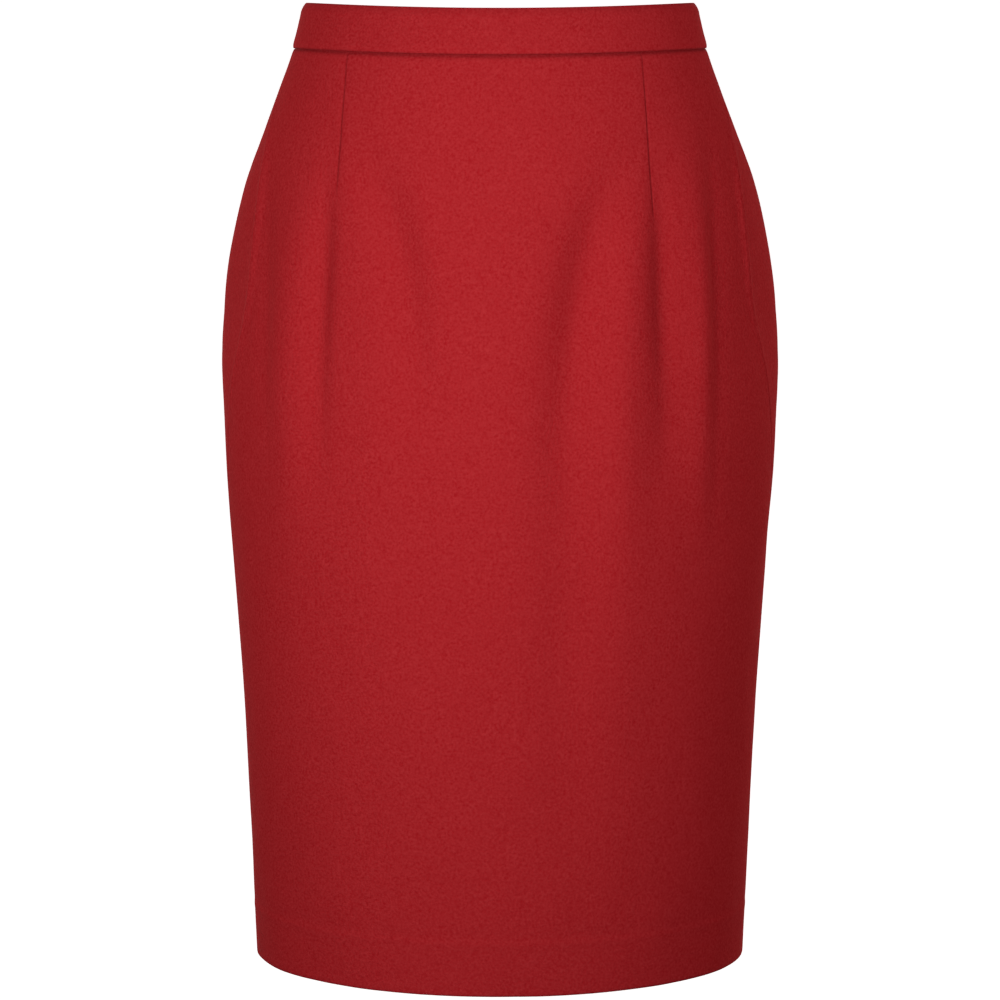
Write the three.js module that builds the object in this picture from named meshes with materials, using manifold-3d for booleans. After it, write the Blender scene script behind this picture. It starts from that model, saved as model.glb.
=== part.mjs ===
// A knee-length pencil skirt in heavy wool crepe, hollow and filled out as it is when worn: a front
// panel shaped by two darts, two back panels with two darts each, a contoured waistband, a
// concealed zip at the back and a vent below it. Units are millimetres and +Z is up. The origin is
// the middle of the waist, level with the sides of the seam under the waistband. The front faces
// -Y, and +X is the wearer's left.

import * as THREE from "three";
import { mergeVertices } from "three/addons/utils/BufferGeometryUtils.js";
import Module from "manifold-3d";

// The cut. Depths are measured down the cloth from the seam under the waistband.
const LENGTH = 585.2; // at the sides
const BAND_HEIGHT = 29;
const FRONT_DIP = 4; // how far that seam drops at the front centre, below its sides
const BACK_DIP = 9; // and at the back centre
const HEM_DIP = 1.8; // how far the hem drops at both centres
const HEM_DEPTH = 34; // the hem allowance, turned up inside
const ZIP_LENGTH = 172;
const VENT_LENGTH = 190;
const VENT_WIDTH = 32; // how far the vent's under layer runs on beneath the upper one
const VENT_LIFT = 2.4; // how far the upper layer's corner stands off at the hem

// The cloth.
const WALL = 1.5; // one layer
const FOLDED_WALL = 2.7; // two layers pressed together, in the hem and along the vent
const SEAM_GAP = 0.3;
const LAYER_GAP = 0.5;

// Sections of the panels' outside, from above the band to below the hem. half is half the width,
// front and back are the depths at the centre, widest is how far behind the origin the widest line
// lies, and seam is how far ahead of that line the side seam lies, in degrees.
const SECTIONS = [
  { z: 60, half: 120.5, front: 87, back: 86, widest: 0, seam: 2 },
  { z: 29, half: 125.4, front: 91, back: 91, widest: 0, seam: 2 },
  { z: 0, half: 131.4, front: 95.5, back: 96.5, widest: 0, seam: 3 },
  { z: -25, half: 140.3, front: 99, back: 103, widest: 4, seam: 6 },
  { z: -50, half: 149.8, front: 102.5, back: 110, widest: 11, seam: 14.5 },
  { z: -85, half: 161.4, front: 107, back: 119, widest: 18, seam: 21.5 },
  { z: -125, half: 168.8, front: 111, back: 126, widest: 24, seam: 23.5 },
  { z: -165, half: 173.6, front: 114, back: 130, widest: 26, seam: 23 },
  { z: -210, half: 178.4, front: 116, back: 130.5, widest: 22, seam: 17.5 },
  { z: -260, half: 177.2, front: 117.5, back: 128.5, widest: 14, seam: 10.5 },
  { z: -320, half: 172.6, front: 118.5, back: 126, widest: 6, seam: 6 },
  { z: -400, half: 166.8, front: 119.5, back: 124, widest: 1, seam: 3.5 },
  { z: -490, half: 162.3, front: 121, back: 123.5, widest: 0, seam: 3 },
  { z: -590, half: 158, front: 122, back: 124, widest: 0, seam: 2 },
  { z: -640, half: 156, front: 122.5, back: 124, widest: 0, seam: 2 },
];

// Darts, sewn down from the waist seam. waistX and pointX are where each starts and ends.
const FRONT_DARTS = [
  { waistX: -94.5, pointX: -102.5, length: 92 },
  { waistX: 87.5, pointX: 96.5, length: 108 },
];
const BACK_LEFT_DARTS = [
  { back: true, waistX: 88, pointX: 100, length: 96 },
  { back: true, waistX: 46, pointX: 53, length: 118 },
];
const BACK_RIGHT_DARTS = [
  { back: true, waistX: -46, pointX: -53, length: 118 },
  { back: true, waistX: -88, pointX: -100, length: 96 },
];
const DARTS = [...FRONT_DARTS, ...BACK_LEFT_DARTS, ...BACK_RIGHT_DARTS];
const DART_GROOVE = 0.8; // how deep the cloth is drawn in along a dart
const DART_REACH = 2.2; // how far to each side of it
const DART_TAPER = 25; // the groove runs out over this length above the dart's point

// Soft folds. Each runs down the cloth through three places, given as x and z. It is highest at the
// height peak and fades out at both ends. width is its spread to each side, and a negative height
// is a hollow.
const FRONT_FOLDS = [
  // the hollow under the front right dart, and the ridge beside it
  { top: [-103, -30], middle: [-110, -140], foot: [-112, -330], peak: -150, width: 8.5, height: -4.6 },
  { top: [-120, -35], middle: [-131, -150], foot: [-130, -345], peak: -175, width: 16, height: 5 },
  // the hollow under the front left dart, and the ridge beside it
  { top: [95, -30], middle: [100, -140], foot: [102, -340], peak: -150, width: 10, height: -4.6 },
  { top: [112, -25], middle: [123, -150], foot: [126, -340], peak: -170, width: 16, height: 5.5 },
  // the hollows to the right and left of the stomach, and the swell beside the left one
  { top: [-88, -40], middle: [-64, -122], foot: [-58, -290], peak: -125, width: 17, height: -5.6 },
  { top: [76, -45], middle: [51, -150], foot: [44, -340], peak: -150, width: 19, height: -7 },
  { top: [47, -170], middle: [46, -350], foot: [44, -560], peak: -290, width: 24, height: -3.4 },
  { top: [78, -50], middle: [80, -200], foot: [76, -470], peak: -190, width: 17, height: 3.4 },
  // the hollows over the hips
  { top: [-142, -45], middle: [-147, -140], foot: [-142, -280], peak: -140, width: 9, height: -2 },
  { top: [132, -15], middle: [139, -120], foot: [137, -260], peak: -95, width: 9, height: -3.4 },
];
const BACK_FOLDS = [
  // under the four darts
  { top: [50, -60], middle: [55, -150], foot: [58, -300], peak: -165, width: 13, height: -1.3 },
  { top: [-50, -60], middle: [-56, -150], foot: [-60, -320], peak: -170, width: 14, height: -1.5 },
  { top: [93, -55], middle: [104, -135], foot: [110, -270], peak: -145, width: 12, height: -1.4 },
  { top: [-93, -50], middle: [-103, -130], foot: [-107, -260], peak: -140, width: 12, height: -1.2 },
  // below the seat
  { top: [76, -200], middle: [70, -330], foot: [62, -540], peak: -330, width: 22, height: -1.8 },
  { top: [-74, -190], middle: [-66, -320], foot: [-70, -520], peak: -310, width: 20, height: -1.6 },
];
const FOLDS = [...FRONT_FOLDS, ...BACK_FOLDS.map((fold) => ({ ...fold, back: true }))];
// The back panels swell at the hips, along the widest line, and each side seam stands up a little.
const HIP_SWELL = { top: -35, peak: -150, foot: -240, width: 28, height: 5 };
const SEAM_RIDGE = { top: -30, peak: -140, foot: -225, width: 7, height: 1.3 };

// The waistband's outer and inner faces, as distances out from the panels' outline, at heights
// above the waist seam.
const BAND_PROFILE = [
  { up: BAND_HEIGHT, outer: -0.5, inner: -1.7 },
  { up: 28.3, outer: 0.3, inner: -2.3 },
  { up: 25.5, outer: 0.6, inner: -2.4 },
  { up: 17.5, outer: 0.2, inner: -2.8 },
  { up: 9, outer: 0.5, inner: -2.5 },
  { up: 2, outer: 0.9, inner: -2.1 },
  { up: SEAM_GAP / 2, outer: 0.4, inner: -1.6 },
];
const BAND_COLUMNS = 66;

// The zip, sewn behind the back centre and closed, with its slider at the band's top.
const ZIP = {
  openHalf: 0.8, // half the gap in which the slider's neck stands
  tapeWidth: 12,
  tapeWall: 1,
  tapeDepth: 1.9, // from the panels' outside in to the tape
  tapeBandDepth: 3.2, // and where it lies behind the band
  coilWidth: 5,
  coilWall: 1.6,
  coilBelowSlider: 1.8,
  sliderWidth: 7,
  sliderHeight: 9,
  sliderWall: 3,
  sliderBelowTop: 4,
  neckThickness: 1,
  headRadius: 2,
  eyeRadius: 1.15,
  hingeOut: 2, // how far outside the panels' outline the pull tab's hinge stands
};
const PULL = {
  length: 21,
  topHalf: 2.3,
  bottomHalf: 3.2,
  thickness: 1.2,
  barHalf: 0.6,
  slotFoot: 3.2,
  slotHalf: 0.95,
};

// Depths of the panels' rows: close together over the folds, wider below them, and with a pair at
// the hem allowance's upper edge, where the wall doubles.
const ROW_STEP = 14.3;
const ZIP_ROWS = Math.round(ZIP_LENGTH / ROW_STEP);
const FOLD_ROWS = 21;
const HEM_TOP = LENGTH - HEM_DEPTH;
const VENT_TOP = LENGTH - VENT_LENGTH;
const VENT_RAMP = 22; // height above the vent over which its under layer sinks
const PANEL_ROWS = [
  SEAM_GAP / 2,
  ...Array.from({ length: FOLD_ROWS }, (_, row) => (row + 1) * ROW_STEP),
  338,
  VENT_TOP - VENT_RAMP,
  VENT_TOP,
  428,
  470,
  512,
  HEM_TOP,
  HEM_TOP + 1.5,
  LENGTH,
];
const VENT_ROW = PANEL_ROWS.indexOf(VENT_TOP);

const { clamp, degToRad, lerp } = THREE.MathUtils;
const smooth = (share) => THREE.MathUtils.smoothstep(share, 0, 1);

// One column of SECTIONS at a height, on a smooth curve through its rows.
function sectionValue(column, z) {
  const below = SECTIONS.findIndex((section) => section.z <= z);
  const k = clamp(below, 2, SECTIONS.length - 2);
  const [before, upper, lower, after] = SECTIONS.slice(k - 2, k + 2);
  const span = lower.z - upper.z;
  const share = (z - upper.z) / span;
  const upperSlope = ((lower[column] - before[column]) / (lower.z - before.z)) * span;
  const lowerSlope = ((after[column] - upper[column]) / (after.z - upper.z)) * span;
  return (
    upper[column] * (2 * share ** 3 - 3 * share ** 2 + 1) +
    upperSlope * (share ** 3 - 2 * share ** 2 + share) +
    lower[column] * (3 * share ** 2 - 2 * share ** 3) +
    lowerSlope * (share ** 3 - share ** 2)
  );
}

// The section's point at an angle from the front centre, growing towards +X, its outward normal,
// and its reach, the length of outline for each radian there.
function outline(angle, z) {
  const half = sectionValue("half", z);
  const widest = sectionValue("widest", z);
  const front = Math.cos(angle) > 0;
  const depth = front ? sectionValue("front", z) + widest : sectionValue("back", z) - widest;
  const across = Math.sin(angle);
  const along = -Math.cos(angle);
  return {
    point: new THREE.Vector2(half * across, widest + depth * along),
    normal: new THREE.Vector2(depth * across, half * along).normalize(),
    reach: Math.hypot(half * along, depth * across),
  };
}

function angleAt(x, z, back) {
  const angle = Math.asin(clamp(x / sectionValue("half", z), -1, 1));
  return back ? Math.sign(x) * Math.PI - angle : angle;
}

function sideSeamAngle(z) {
  return Math.PI / 2 - degToRad(sectionValue("seam", z));
}

function dartAngle({ waistX, pointX, length, back }, z) {
  const share = clamp(-z / length, 0, 1);
  return angleAt(lerp(waistX, pointX, share), z, back);
}

// The rise and fall of a fold along its length, up to 1.
function strength({ top, peak, foot }, z) {
  return z > peak ? smooth((top - z) / (top - peak)) : smooth((z - foot) / (peak - foot));
}

// A bell across a fold, from the distance to its middle.
function bell(distance, width) {
  return Math.exp(-((distance / width) ** 2));
}

// A fold's x at a height, on the parabola through its three places.
function foldX({ top, middle, foot }, z) {
  const term = ([x, at], [, one], [, other]) => (x * (z - one) * (z - other)) / ((at - one) * (at - other));
  return term(top, middle, foot) + term(middle, top, foot) + term(foot, top, middle);
}

// How far folds, darts and the side seams raise the cloth.
function relief(angle, z, reach) {
  let height = 0;
  for (const fold of FOLDS) {
    const ends = { top: fold.top[1], peak: fold.peak, foot: fold.foot[1] };
    const distance = (angle - angleAt(foldX(fold, z), z, fold.back)) * reach;
    height += fold.height * strength(ends, z) * bell(distance, fold.width);
  }
  for (const dart of DARTS) {
    const distance = Math.abs(angle - dartAngle(dart, z)) * reach;
    const groove = z < 0 ? DART_GROOVE * smooth((z + dart.length) / DART_TAPER) : 0;
    height -= groove * Math.max(0, 1 - distance / DART_REACH);
  }
  const fromWidest = (Math.abs(angle) - Math.PI / 2) * reach;
  const fromSeam = (Math.abs(angle) - sideSeamAngle(z)) * reach;
  height += HIP_SWELL.height * strength(HIP_SWELL, z) * bell(fromWidest, HIP_SWELL.width);
  height += SEAM_RIDGE.height * strength(SEAM_RIDGE, z) * bell(fromSeam, SEAM_RIDGE.width);
  return height;
}

// The outside of the cloth, moved out by rise.
function clothPoint(angle, z, rise = 0) {
  const turned = Math.atan2(Math.sin(angle), Math.cos(angle));
  const { point, normal, reach } = outline(turned, z);
  point.addScaledVector(normal, relief(turned, z, reach) + rise);
  return new THREE.Vector3(point.x, point.y, z);
}

// The height of a depth at an angle. The waist seam and the hem dip at the front and back centre.
function heightOf(depth, angle) {
  const across = Math.cos(angle);
  const waistDip = across > 0 ? FRONT_DIP : BACK_DIP;
  const dip = lerp(waistDip, HEM_DIP, Math.max(0, depth / LENGTH));
  return -dip * across ** 2 - depth;
}

// The angle that a length of outline spans.
function spanOf(length, angle, z) {
  return length / outline(angle, z).reach;
}

function fromBackCentre(angle, z) {
  return (Math.PI - Math.abs(angle)) * outline(Math.PI, z).reach;
}

// A closed wall on a grid of columns, which run to the wearer's left, and rows, which run down.
// outer and inner give the place of a grid point on either face, and has says which cells exist.
function wallFromGrid(columns, rows, outer, inner, has = () => true) {
  const positions = [];
  const triangles = [];
  const known = new Map();
  const vertex = (face, [column, row]) => {
    const key = `${face === outer} ${column} ${row}`;
    if (!known.has(key)) {
      known.set(key, positions.length / 3);
      positions.push(...face(column, row).toArray());
    }
    return known.get(key);
  };
  const edges = new Map();
  for (let row = 0; row < rows; row++) {
    for (let column = 0; column < columns; column++) {
      if (!has(column, row)) continue;
      const corners = [[column, row], [column, row + 1], [column + 1, row + 1], [column + 1, row]];
      const [a, b, c, d] = corners.map((corner) => vertex(outer, corner));
      const [e, f, g, h] = corners.map((corner) => vertex(inner, corner));
      triangles.push(a, b, c, a, c, d, e, g, f, e, h, g);
      corners.forEach((from, k) => {
        const to = corners[(k + 1) % 4];
        edges.set(`${from} to ${to}`, [from, to]);
      });
    }
  }
  for (const [from, to] of edges.values()) {
    if (edges.has(`${to} to ${from}`)) continue;
    const [a, b] = [vertex(outer, from), vertex(outer, to)];
    const [c, d] = [vertex(inner, from), vertex(inner, to)];
    triangles.push(b, a, c, b, c, d);
  }
  const geometry = new THREE.BufferGeometry();
  geometry.setAttribute("position", new THREE.Float32BufferAttribute(positions, 3));
  geometry.setIndex(triangles);
  geometry.computeVertexNormals();
  return geometry;
}

// A piece of cloth on the figure. anglesAt lists its columns' angles at a height, depths lists its
// rows, and outer and inner give each face's rise from { angle, z, row, column }.
function clothGeometry({ anglesAt, depths, outer, inner, has }) {
  const face = (rise) => (column, row) => {
    let z = -depths[row];
    for (let pass = 0; pass < 3; pass++) z = heightOf(depths[row], anglesAt(z)[column]);
    const angle = anglesAt(z)[column];
    return clothPoint(angle, z, rise({ angle, z, row, column }));
  };
  return wallFromGrid(anglesAt(0).length - 1, depths.length - 1, face(outer), face(inner), has);
}

function evenly(start, end, steps) {
  return Array.from({ length: steps }, (_, k) => lerp(start, end, k / steps));
}

// The columns of a panel between two edges: steps says how many lie between the edges and the
// darts. The columns beside a dart start at the groove's edges and spread below the dart's point.
function panelAngles({ from, to, darts, steps }, z) {
  const DART_SPREAD = 0.07;
  const DART_WIDEST = 12;
  const start = from(z) + spanOf(SEAM_GAP / 2, from(z), z);
  const end = to(z) - spanOf(SEAM_GAP / 2, to(z), z);
  const angles = [];
  let last = start;
  darts.forEach((dart, k) => {
    const middle = dartAngle(dart, z);
    const beside = clamp(DART_REACH + (-z - dart.length) * DART_SPREAD, DART_REACH, DART_WIDEST);
    const side = spanOf(beside, middle, z);
    angles.push(...evenly(last, middle - side, steps[k]), middle - side, middle);
    last = middle + side;
  });
  return [...angles, ...evenly(last, end, steps[darts.length]), end];
}

const rightSeamAngle = (z) => -sideSeamAngle(z);
const FRONT = { from: rightSeamAngle, to: sideSeamAngle, darts: FRONT_DARTS, steps: [9, 13, 9] };
const BACK_LEFT = { from: sideSeamAngle, to: () => Math.PI, darts: BACK_LEFT_DARTS, steps: [10, 3, 3] };
const BACK_RIGHT = { from: () => -Math.PI, to: rightSeamAngle, darts: BACK_RIGHT_DARTS, steps: [3, 3, 10] };

function frontPanel() {
  return clothGeometry({
    anglesAt: (z) => panelAngles(FRONT, z),
    depths: PANEL_ROWS,
    outer: () => 0,
    inner: ({ row }) => (PANEL_ROWS[row] > HEM_TOP ? -FOLDED_WALL : -WALL),
  });
}

// The left back panel is the vent's upper layer. It is faced along the vent, and its free corner
// stands off a little.
function backPanelLeft() {
  const lift = ({ angle, z }) => {
    const down = smooth((-z - VENT_TOP) / VENT_LENGTH);
    return VENT_LIFT * down * (1 - smooth(fromBackCentre(angle, z) / (2 * VENT_WIDTH)));
  };
  const isFolded = ({ angle, z, row }) =>
    PANEL_ROWS[row] > HEM_TOP || (row >= VENT_ROW && fromBackCentre(angle, z) < VENT_WIDTH);
  return clothGeometry({
    anglesAt: (z) => panelAngles(BACK_LEFT, z),
    depths: PANEL_ROWS,
    outer: lift,
    inner: (place) => lift(place) - (isFolded(place) ? FOLDED_WALL : WALL),
  });
}

// The right back panel is the vent's under layer: below the vent's top it runs on past the back
// centre, beneath the left one.
function backPanelRight() {
  const FLAP_STEPS = 3;
  const RAMP_WIDTH = 16;
  const lift = ({ angle, z }) => {
    const sunk = smooth((-z - VENT_TOP + VENT_RAMP) / VENT_RAMP);
    const near = 1 - smooth((angle + Math.PI) / spanOf(RAMP_WIDTH, Math.PI, z));
    return -(FOLDED_WALL + LAYER_GAP) * sunk * near;
  };
  const isFolded = ({ row, column }) =>
    PANEL_ROWS[row] > HEM_TOP || (row >= VENT_ROW && column <= FLAP_STEPS);
  return clothGeometry({
    anglesAt: (z) => {
      const angles = panelAngles(BACK_RIGHT, z);
      return [...evenly(angles[0] - spanOf(VENT_WIDTH, Math.PI, z), angles[0], FLAP_STEPS), ...angles];
    },
    depths: PANEL_ROWS,
    outer: lift,
    inner: (place) => lift(place) - (isFolded(place) ? FOLDED_WALL : WALL),
    has: (column, row) => column >= FLAP_STEPS || row >= VENT_ROW,
  });
}

function waistband() {
  return clothGeometry({
    anglesAt: (z) => {
      const end = Math.PI - spanOf(ZIP.openHalf, Math.PI, z);
      return [...evenly(-end, end, BAND_COLUMNS), end];
    },
    depths: BAND_PROFILE.map(({ up }) => -up),
    outer: ({ row }) => BAND_PROFILE[row].outer,
    inner: ({ row }) => BAND_PROFILE[row].inner,
  });
}

// The tape lies close behind the panels, and steps in behind the thicker band.
function tapeRise({ angle, z }) {
  const STEP_HEIGHT = 14;
  const aboveSeam = z - heightOf(0, angle);
  return -lerp(ZIP.tapeDepth, ZIP.tapeBandDepth, smooth(1 + aboveSeam / STEP_HEIGHT));
}

// A strip of the zip between two distances past the back centre, its outer face moved in by sunk.
// ups are its rows' heights above the waist seam.
function zipStrip({ from, to, ups, wall, sunk }) {
  return clothGeometry({
    anglesAt: (z) => [from, to].map((distance) => Math.PI + spanOf(distance, Math.PI, z)),
    depths: [...ups.map((up) => -up), ...PANEL_ROWS.slice(0, ZIP_ROWS + 1)],
    outer: (place) => tapeRise(place) - sunk,
    inner: (place) => tapeRise(place) - sunk - wall,
  });
}

function zipTape(from, to) {
  return zipStrip({ from, to, ups: [26.5, 17.5, 9, 2], wall: ZIP.tapeWall, sunk: 0 });
}

const SLIDER_FOOT = BAND_HEIGHT - ZIP.sliderBelowTop - ZIP.sliderHeight;

function zipCoil() {
  const half = ZIP.coilWidth / 2;
  const ups = [SLIDER_FOOT - ZIP.coilBelowSlider, 9, 2];
  return zipStrip({ from: -half, to: half, ups, wall: ZIP.coilWall, sunk: ZIP.tapeWall + SEAM_GAP });
}

const wasm = await Module();
wasm.setup();

function solidFrom(geometry) {
  const merged = mergeVertices(geometry.deleteAttribute("normal").deleteAttribute("uv"));
  const vertProperties = merged.attributes.position.array;
  const triVerts = merged.index.array;
  return new wasm.Manifold(new wasm.Mesh({ numProp: 3, vertProperties, triVerts }));
}

function joined(first, second) {
  const mesh = solidFrom(first).add(solidFrom(second)).getMesh();
  const geometry = new THREE.BufferGeometry();
  geometry.setAttribute("position", new THREE.BufferAttribute(mesh.vertProperties, 3));
  geometry.setIndex(new THREE.BufferAttribute(mesh.triVerts, 1));
  geometry.computeVertexNormals();
  return geometry;
}

// A flat piece from a shape, its thickness centred on the shape's plane.
function plate(shape, thickness) {
  const settings = { depth: thickness, bevelEnabled: false, curveSegments: 6 };
  return new THREE.ExtrudeGeometry(shape, settings).translate(0, 0, -thickness / 2);
}

// The slider, about the point where its neck crosses the panels' outline, +Y outwards. Its body
// lies behind the tapes. Its neck stands out between them and ends in an eye.
function zipSlider() {
  const bodyOut = -(ZIP.tapeBandDepth + ZIP.tapeWall + SEAM_GAP);
  const halfWidth = ZIP.sliderWidth / 2;
  const halfHeight = ZIP.sliderHeight / 2;
  const shoulder = halfHeight / 3;
  const body = new THREE.Shape();
  body.moveTo(-halfWidth + 1, -halfHeight);
  body.lineTo(halfWidth - 1, -halfHeight);
  body.quadraticCurveTo(halfWidth, 0, halfWidth, shoulder);
  body.quadraticCurveTo(halfWidth, halfHeight, 0, halfHeight);
  body.quadraticCurveTo(-halfWidth, halfHeight, -halfWidth, shoulder);
  body.quadraticCurveTo(-halfWidth, 0, -halfWidth + 1, -halfHeight);
  const bodyGeometry = plate(body, ZIP.sliderWall).rotateX(Math.PI / 2);
  bodyGeometry.translate(0, bodyOut - ZIP.sliderWall / 2, 0);
  const neck = new THREE.Shape();
  neck.moveTo(bodyOut - 1, -ZIP.headRadius);
  neck.lineTo(ZIP.hingeOut, -ZIP.headRadius);
  neck.absarc(ZIP.hingeOut, 0, ZIP.headRadius, -Math.PI / 2, Math.PI / 2, false);
  neck.lineTo(bodyOut - 1, ZIP.headRadius);
  const eye = new THREE.Path();
  eye.absarc(ZIP.hingeOut, 0, ZIP.eyeRadius, 0, 2 * Math.PI, false);
  neck.holes.push(eye);
  const neckGeometry = plate(neck, ZIP.neckThickness).rotateY(Math.PI / 2).rotateX(Math.PI / 2);
  return joined(bodyGeometry, neckGeometry);
}

// The pull tab, about its hinge and hanging down. The bar above its slot goes through the eye.
function zipPull() {
  const { length, topHalf, bottomHalf, thickness, barHalf, slotFoot, slotHalf } = PULL;
  const tab = new THREE.Shape();
  tab.moveTo(-topHalf, barHalf);
  tab.lineTo(-bottomHalf, bottomHalf - length);
  tab.absarc(0, bottomHalf - length, bottomHalf, Math.PI, 2 * Math.PI, false);
  tab.lineTo(topHalf, barHalf);
  const slot = new THREE.Path();
  slot.moveTo(-slotHalf, -barHalf);
  slot.lineTo(-slotHalf, -slotFoot);
  slot.lineTo(slotHalf, -slotFoot);
  slot.lineTo(slotHalf, -barHalf);
  tab.holes.push(slot);
  return plate(tab, thickness).rotateX(Math.PI / 2);
}

const cloth = () => new THREE.MeshStandardMaterial({ color: 0xa31f26, roughness: 0.9, metalness: 0 });
const tapeCloth = () => new THREE.MeshStandardMaterial({ color: 0x8c1a20, roughness: 0.8, metalness: 0 });
const enamel = () => new THREE.MeshStandardMaterial({ color: 0x8f1b21, roughness: 0.35, metalness: 0.3 });

function named(name, geometry, material) {
  const mesh = new THREE.Mesh(geometry, material);
  mesh.name = name;
  return mesh;
}

const tapeNear = ZIP.openHalf;
const tapeFar = ZIP.openHalf + ZIP.tapeWidth;
const skirt = new THREE.Group();
skirt.add(
  named("front_panel", frontPanel(), cloth()),
  named("back_panel_left", backPanelLeft(), cloth()),
  named("back_panel_right", backPanelRight(), cloth()),
  named("waistband", waistband(), cloth()),
  named("zip_tape_left", zipTape(-tapeFar, -tapeNear), tapeCloth()),
  named("zip_tape_right", zipTape(tapeNear, tapeFar), tapeCloth()),
  named("zip_coil", zipCoil(), tapeCloth()),
);

// The slider leans with the cloth, so that the pull tab hangs along the band.
const sliderZ = heightOf(-SLIDER_FOOT - ZIP.sliderHeight / 2, Math.PI);
const fasteners = new THREE.Group();
fasteners.position.copy(clothPoint(Math.PI, sliderZ));
fasteners.rotation.x = Math.atan2(
  clothPoint(Math.PI, sliderZ - PULL.length).y - fasteners.position.y,
  PULL.length,
);
const pull = named("zip_pull", zipPull(), enamel());
pull.position.y = ZIP.hingeOut;
fasteners.add(named("zip_slider", zipSlider(), enamel()), pull);
skirt.add(fasteners);

export default skirt;
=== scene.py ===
"""A knee-length pencil skirt in red wool crepe, hollow and filled out as it is when worn.

The cloth is cut, folded and sewn as a maker would: a darted front panel, two darted back panels
with pressed-open seam allowances and a turned-up hem, a contoured waistband with a facing, a
concealed zip at the back centre and a lapped vent below it. Sizes inside the functions are
millimetres in the frame's axes, and become metres where a mesh is made. The front faces -Y, +Z is
up and +X is the wearer's left.
"""

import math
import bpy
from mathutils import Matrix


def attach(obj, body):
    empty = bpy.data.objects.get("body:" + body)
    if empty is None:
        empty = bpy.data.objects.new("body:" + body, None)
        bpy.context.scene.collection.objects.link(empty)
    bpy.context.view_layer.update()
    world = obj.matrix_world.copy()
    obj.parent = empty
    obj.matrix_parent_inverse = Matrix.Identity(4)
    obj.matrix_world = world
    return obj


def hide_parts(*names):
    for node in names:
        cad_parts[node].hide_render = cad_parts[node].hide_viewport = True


bl_info = {
    "name": "Pencil skirt",
    "version": (1, 0, 0),
    "blender": (4, 5, 0),
    "location": "View3D > Sidebar > Skirt",
    "description": "Sews a wool crepe pencil skirt around its frame and sets it in a studio",
    "category": "Object",
}

from functools import partial

import bmesh
import bpy
import numpy as np
from bpy.props import FloatProperty, FloatVectorProperty, PointerProperty
from bpy.types import Operator, Panel, PropertyGroup
from mathutils import Matrix, Vector

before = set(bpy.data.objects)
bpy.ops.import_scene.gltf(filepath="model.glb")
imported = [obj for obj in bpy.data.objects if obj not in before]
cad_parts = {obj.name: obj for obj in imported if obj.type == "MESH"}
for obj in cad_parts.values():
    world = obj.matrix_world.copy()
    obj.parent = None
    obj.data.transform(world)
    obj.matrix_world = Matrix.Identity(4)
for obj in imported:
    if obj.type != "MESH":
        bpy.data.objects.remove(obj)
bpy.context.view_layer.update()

MM = 0.001

# The cut, in millimetres. Depths are measured down the cloth from the seam under the waistband.
LENGTH = 585.2
BAND_SHOWN = 33  # the band's face, its lower edge and its fold over the top
FRONT_DIP = 4
BACK_DIP = 9
HEM_DIP = 1.8
HEM_DEPTH = 34
ZIP_LENGTH = 172
VENT_LENGTH = 190
VENT_WIDTH = 32
VENT_LIFT = 2.4
VENT_RAMP = 22
VENT_SINK = 3.3  # how far the vent's under layer lies below the upper one
HEM_TOP = LENGTH - HEM_DEPTH
VENT_TOP = LENGTH - VENT_LENGTH
CLOTH_RADIUS = 150  # a usual radius, to turn an angle into a distance along the cloth

# Sections of the panels' outside: height, half the width, the depths at the front and back
# centre, how far behind the origin the widest line lies, and how far ahead of it the side seam
# lies, in degrees.
SECTIONS = [
    (60, 120.5, 87, 86, 0, 2),
    (29, 125.4, 91, 91, 0, 2),
    (0, 131.4, 95.5, 96.5, 0, 3),
    (-25, 140.3, 99, 103, 4, 6),
    (-50, 149.8, 102.5, 110, 11, 14.5),
    (-85, 161.4, 107, 119, 18, 21.5),
    (-125, 168.8, 111, 126, 24, 23.5),
    (-165, 173.6, 114, 130, 26, 23),
    (-210, 178.4, 116, 130.5, 22, 17.5),
    (-260, 177.2, 117.5, 128.5, 14, 10.5),
    (-320, 172.6, 118.5, 126, 6, 6),
    (-400, 166.8, 119.5, 124, 1, 3.5),
    (-490, 162.3, 121, 123.5, 0, 3),
    (-590, 158, 122, 124, 0, 2),
    (-640, 156, 122.5, 124, 0, 2),
]
HALF, FRONT, BACK, WIDEST, SEAM = range(1, 6)

# Darts: x at the waist seam and at the point, length, and whether it is at the back.
FRONT_DARTS = [(-94.5, -102.5, 92, False), (87.5, 96.5, 108, False)]
BACK_LEFT_DARTS = [(88, 100, 96, True), (46, 53, 118, True)]
BACK_RIGHT_DARTS = [(-46, -53, 118, True), (-88, -100, 96, True)]
DARTS = FRONT_DARTS + BACK_LEFT_DARTS + BACK_RIGHT_DARTS
DART_TAPER = 14  # how far above its point a dart starts to run out
DART_PAINTED_SHADE = 0.7  # how dark the painted shade along a dart is, where 1 is the painted shade in the ditch under the band
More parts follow.
